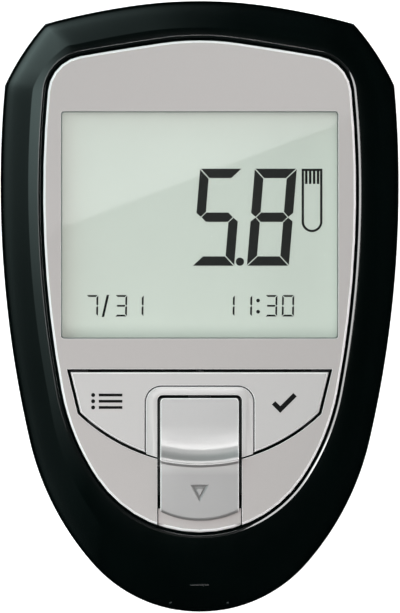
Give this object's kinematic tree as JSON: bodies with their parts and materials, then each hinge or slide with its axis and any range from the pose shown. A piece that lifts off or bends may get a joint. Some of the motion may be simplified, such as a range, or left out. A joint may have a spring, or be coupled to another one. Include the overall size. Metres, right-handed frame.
{
  "type": "blood glucose meter",
  "caption": "Hand-held blood glucose meter with a display, a rocking key plate, a test strip ejector slide and a battery door.",
  "frame": {"origin": "centre of the outline, on the plane that the meter's back rests on", "axes": "+Z out of the display, +Y towards the display end, -Y towards the test strip end, +X to the right of the display"},
  "size_m": [0.0642, 0.0986, 0.0239],
  "materials": {
    "black_gloss": "piano black, moulded gloss",
    "black_matte": "fine spark texture",
    "silver_plastic": "pearl silver lacquer",
    "clear_plastic": "polished acrylic",
    "display_glass": "green-grey display behind a matt polariser",
    "foam": "closed-cell foam",
    "white_plastic": "moulded",
    "elastomer": "silicone with carbon layers",
    "steel": "nickel-plated",
    "dark_plastic": "moulded",
    "board": "solder mask",
    "gold": "gold-plated",
    "cell": "shrink sleeve over steel",
    "ceramic": "fired"
  },
  "bodies": {
    "housing": {"front_case": "black_gloss", "rear_case": "black_matte", "face_plate": "silver_plastic", "display_window": "clear_plastic", "lcd_gasket": "foam", "lcd_panel": "display_glass", "lcd_holder": "dark_plastic", "contact_strip": "elastomer", "key_axle": "steel", "key_switches": "dark_plastic", "slide_bed": "silver_plastic", "slide_springs": "steel", "main_board": "board", "strip_socket": "white_plastic", "strip_contacts": "gold", "battery_left": "cell", "battery_right": "cell", "bridge_contact": "steel", "positive_contact": "steel", "negative_contact": "steel", "processor": "dark_plastic", "memory_chip": "dark_plastic", "crystal": "steel", "chip_parts": "ceramic", "buzzer": "dark_plastic", "case_screws": "steel", "board_screws": "steel"},
    "slide": {"eject_slide": "silver_plastic", "ejector_pusher": "dark_plastic"},
    "keys": {"key_plate": "silver_plastic"},
    "door": {"battery_door": "black_matte"}
  },
  "joints": [
    {"name": "slide_eject", "type": "slide", "parent": "housing", "child": "slide", "axis": [0, -1, 0], "range_m": [0, 0.004], "stiffness_N_per_m": 120, "springref_m": -0.0005, "deforming": ["slide_springs"]},
    {"name": "key_rock", "type": "hinge", "parent": "housing", "child": "keys", "pos_m": [0, -0.0115, 0.0189], "axis": [0, 1, 0], "range_deg": [-1.5, 1.5], "stiffness_Nm_per_rad": 0.6},
    {"name": "door_open", "type": "hinge", "parent": "housing", "child": "door", "pos_m": [0, 0.04088, 0.00095], "axis": [1, 0, 0], "range_deg": [0, 40]}
  ]
}
